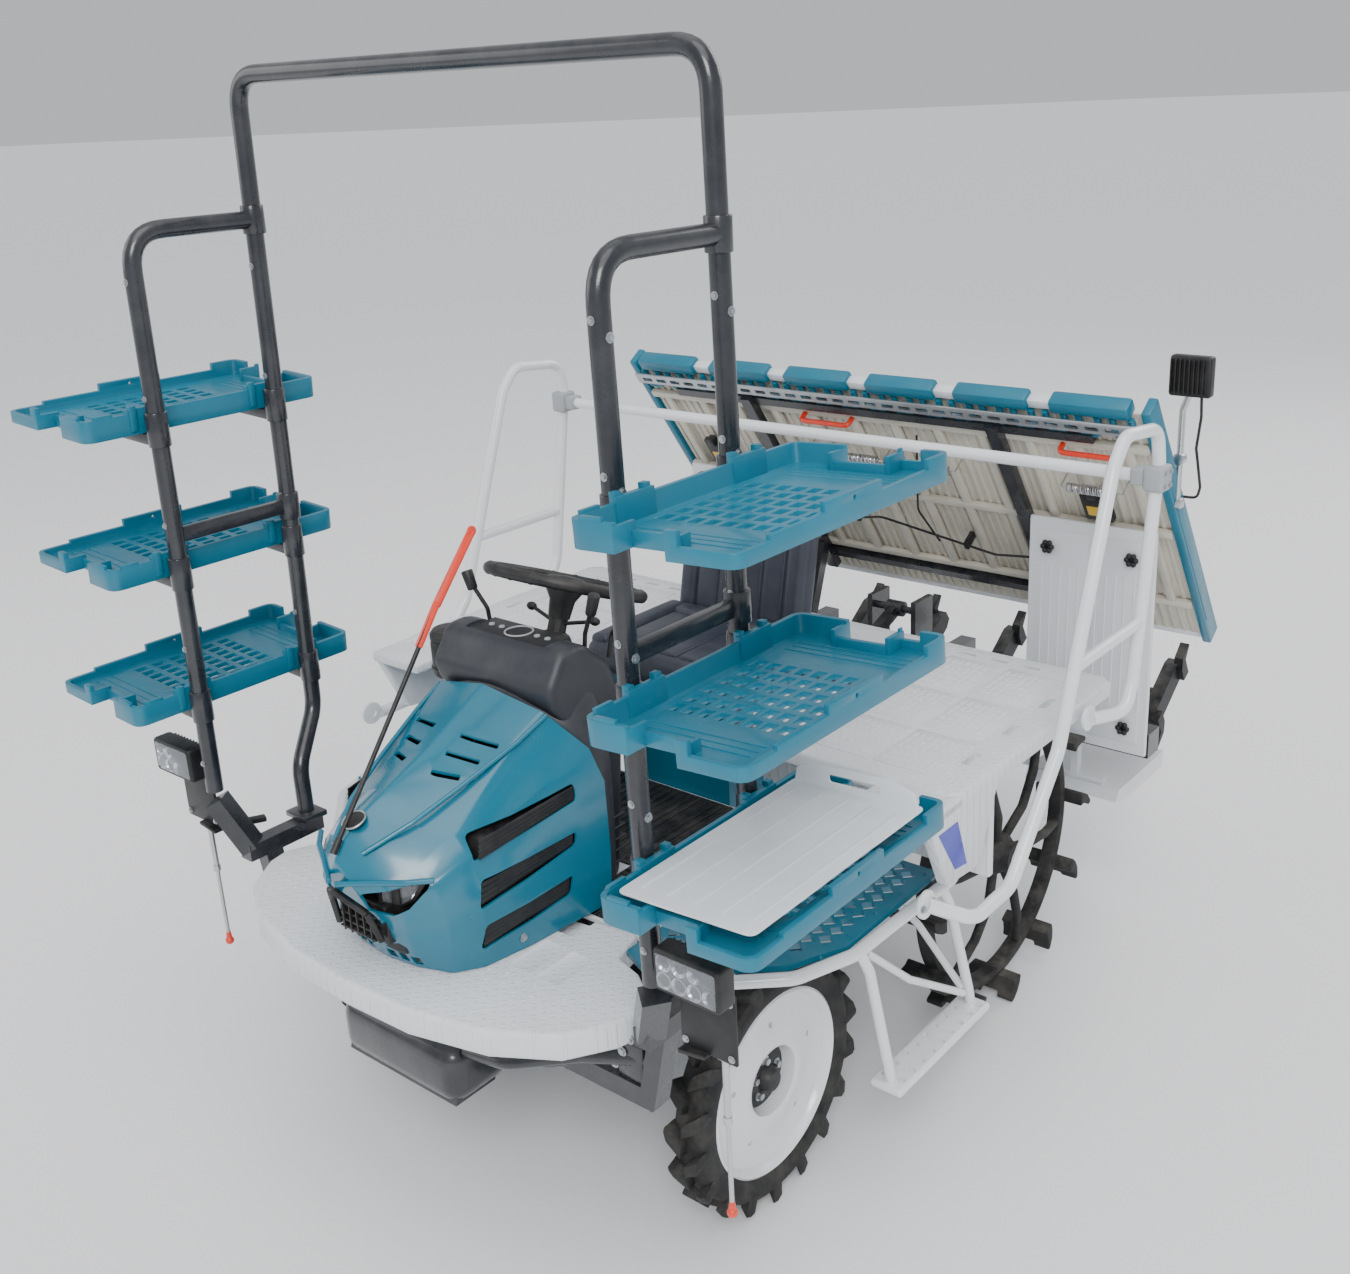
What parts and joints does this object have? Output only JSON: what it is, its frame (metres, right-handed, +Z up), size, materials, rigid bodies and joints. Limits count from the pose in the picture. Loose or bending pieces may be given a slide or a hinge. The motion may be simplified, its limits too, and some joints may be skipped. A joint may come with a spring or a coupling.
{
  "type": "rice transplanter",
  "caption": "Riding rice transplanter with spoked paddle wheels, steered front wheels, seat, guard rails, seedling racks and a raised sloping planting unit.",
  "frame": {"origin": "ground level, at the middle of the overall footprint", "axes": "+Z up, the machine faces -Y, its own left side is at +X"},
  "size_m": [2.2668, 2.8819, 2.6914],
  "materials": {
    "teal_plastic": "satin",
    "white_paint": "gloss",
    "black_plastic": "matt",
    "rack_paint": "gloss",
    "dash_plastic": "matt",
    "seat_vinyl": "matt",
    "steel": "satin",
    "orange_plastic": "satin",
    "cast_metal": "rough",
    "rubber": "matt"
  },
  "bodies": {
    "chassis": {"chassis_frame": "rack_paint", "dash_cowl": "dash_plastic", "engine_block": "cast_metal", "foot_floor": "black_plastic", "front_apron": "white_paint", "front_axle_case": "cast_metal", "handrail_crossbar": "white_paint", "handrail_left": "white_paint", "handrail_right": "white_paint", "rack_hoop": "rack_paint", "rack_side_left": "rack_paint", "rack_side_right": "rack_paint", "rear_deck": "white_paint", "rear_transaxle": "cast_metal", "scoop_plate": "white_paint", "seat_back": "seat_vinyl", "seat_base": "teal_plastic", "seat_cushion": "seat_vinyl", "side_step_left": "teal_plastic", "side_step_right": "teal_plastic", "steering_column": "black_plastic", "step_frame_left": "white_paint", "step_frame_right": "white_paint", "tray_low_left": "teal_plastic", "tray_low_right": "teal_plastic", "tray_mid_left": "teal_plastic", "tray_mid_right": "teal_plastic", "tray_top_left": "teal_plastic", "tray_top_right": "teal_plastic", "work_lamp_left": "black_plastic", "work_lamp_right": "black_plastic"},
    "hood": {"hood": "teal_plastic", "grille_panel": "black_plastic"},
    "centre_marker": {"centre_marker": "orange_plastic"},
    "side_marker_left": {"side_marker_left": "steel"},
    "side_marker_right": {"side_marker_right": "steel"},
    "knuckle_left": {"knuckle_left": "cast_metal"},
    "knuckle_right": {"knuckle_right": "cast_metal"},
    "front_wheel_left": {"front_tyre_left": "rubber", "front_disc_left": "white_paint"},
    "front_wheel_right": {"front_tyre_right": "rubber", "front_disc_right": "white_paint"},
    "rear_wheel_left": {"rear_wheel_left": "rubber"},
    "rear_wheel_right": {"rear_wheel_right": "rubber"},
    "steering_wheel": {"steering_wheel": "black_plastic"},
    "lift_lower_link": {"lift_lower_link": "rack_paint"},
    "lift_top_link": {"lift_top_link": "rack_paint"},
    "lift_cylinder": {"lift_cylinder": "cast_metal"},
    "lift_rod": {"lift_rod": "steel"},
    "planting_unit": {"planting_frame": "rack_paint", "planting_floats": "white_paint", "cover_panel_left": "white_paint", "cover_panel_right": "white_paint"},
    "seedling_platform": {"seedling_platform": "teal_plastic", "rear_work_lamp": "black_plastic", "rear_lamp_lead": "rubber"},
    "planting_rotor_left": {"planting_rotor_left": "cast_metal"},
    "planting_rotor_middle": {"planting_rotor_middle": "cast_metal"},
    "planting_rotor_right": {"planting_rotor_right": "cast_metal"}
  },
  "joints": [
    {"name": "hood_tilt", "type": "hinge", "parent": "chassis", "child": "hood", "pos_m": [0, -1.339, 0.792], "axis": [1, 0, 0], "range_deg": [0, 55]},
    {"name": "centre_marker_fold", "type": "hinge", "parent": "hood", "child": "centre_marker", "pos_m": [0, -1.4201, 1.0642], "axis": [1, 0, 0], "range_deg": [0, 85]},
    {"name": "side_marker_left_swing", "type": "hinge", "parent": "chassis", "child": "side_marker_left", "pos_m": [0.89, -1.196, 0.79], "axis": [0, -1, 0], "range_deg": [0, 90]},
    {"name": "side_marker_right_swing", "type": "hinge", "parent": "chassis", "child": "side_marker_right", "pos_m": [-0.89, -1.196, 0.79], "axis": [0, 1, 0], "range_deg": [0, 90]},
    {"name": "steer_left", "type": "hinge", "parent": "chassis", "child": "knuckle_left", "pos_m": [0.49, -0.721, 0.325], "axis": [0, 0, 1], "range_deg": [-40, 40]},
    {"name": "steer_right", "type": "hinge", "parent": "chassis", "child": "knuckle_right", "pos_m": [-0.49, -0.721, 0.325], "axis": [0, 0, 1], "range_deg": [-40, 40]},
    {"name": "front_wheel_left_spin", "type": "hinge", "parent": "knuckle_left", "child": "front_wheel_left", "pos_m": [0.616, -0.721, 0.325], "axis": [1, 0, 0], "continuous": true},
    {"name": "front_wheel_right_spin", "type": "hinge", "parent": "knuckle_right", "child": "front_wheel_right", "pos_m": [-0.616, -0.721, 0.325], "axis": [1, 0, 0], "continuous": true},
    {"name": "rear_wheel_left_spin", "type": "hinge", "parent": "chassis", "child": "rear_wheel_left", "pos_m": [0.667, 0.329, 0.475], "axis": [1, 0, 0], "continuous": true},
    {"name": "rear_wheel_right_spin", "type": "hinge", "parent": "chassis", "child": "rear_wheel_right", "pos_m": [-0.667, 0.329, 0.475], "axis": [1, 0, 0], "continuous": true},
    {"name": "steering_wheel_turn", "type": "hinge", "parent": "chassis", "child": "steering_wheel", "pos_m": [0, -0.659, 1.466], "axis": [0, 0.3746, 0.9272], "range_deg": [-360, 360]},
    {"name": "lift_swing", "type": "hinge", "parent": "chassis", "child": "lift_lower_link", "pos_m": [0, 0.419, 0.5], "axis": [1, 0, 0], "range_deg": [-45, 0]},
    {"name": "lift_top_link_swing", "type": "hinge", "parent": "chassis", "child": "lift_top_link", "pos_m": [0, 0.419, 0.78], "axis": [1, 0, 0], "range_deg": [-45, 0]},
    {"name": "lift_cylinder_swing", "type": "hinge", "parent": "chassis", "child": "lift_cylinder", "pos_m": [0, 0.139, 0.86], "axis": [1, 0, 0], "range_deg": [-13.6, 0]},
    {"name": "lift_rod_slide", "type": "slide", "parent": "lift_cylinder", "child": "lift_rod", "axis": [0, 0.8725, -0.4886], "range_m": [0, 0.107]},
    {"name": "planting_unit_level", "type": "hinge", "parent": "lift_lower_link", "child": "planting_unit", "pos_m": [0, 0.859, 0.66], "axis": [1, 0, 0], "range_deg": [0, 45]},
    {"name": "seedling_platform_slide", "type": "slide", "parent": "planting_unit", "child": "seedling_platform", "axis": [1, 0, 0], "range_m": [-0.14, 0.14]},
    {"name": "planting_rotor_left_spin", "type": "hinge", "parent": "planting_unit", "child": "planting_rotor_left", "pos_m": [0.6, 1.319, 0.64], "axis": [1, 0, 0], "continuous": true},
    {"name": "planting_rotor_middle_spin", "type": "hinge", "parent": "planting_unit", "child": "planting_rotor_middle", "pos_m": [0, 1.319, 0.64], "axis": [1, 0, 0], "continuous": true},
    {"name": "planting_rotor_right_spin", "type": "hinge", "parent": "planting_unit", "child": "planting_rotor_right", "pos_m": [-0.6, 1.319, 0.64], "axis": [1, 0, 0], "continuous": true}
  ],
  "couplings": [
    {"joint": "steer_right", "follows": "steer_left", "ratio": 1},
    {"joint": "steering_wheel_turn", "follows": "steer_left", "ratio": 9},
    {"joint": "lift_top_link_swing", "follows": "lift_swing", "ratio": 1},
    {"joint": "planting_unit_level", "follows": "lift_swing", "ratio": -1},
    {"joint": "lift_cylinder_swing", "follows": "lift_swing", "ratio": 0.3},
    {"joint": "lift_rod_slide", "follows": "lift_swing", "m_per_rad": -0.136},
    {"joint": "planting_rotor_left_spin", "follows": "planting_rotor_middle_spin", "ratio": 1},
    {"joint": "planting_rotor_right_spin", "follows": "planting_rotor_middle_spin", "ratio": 1}
  ]
}
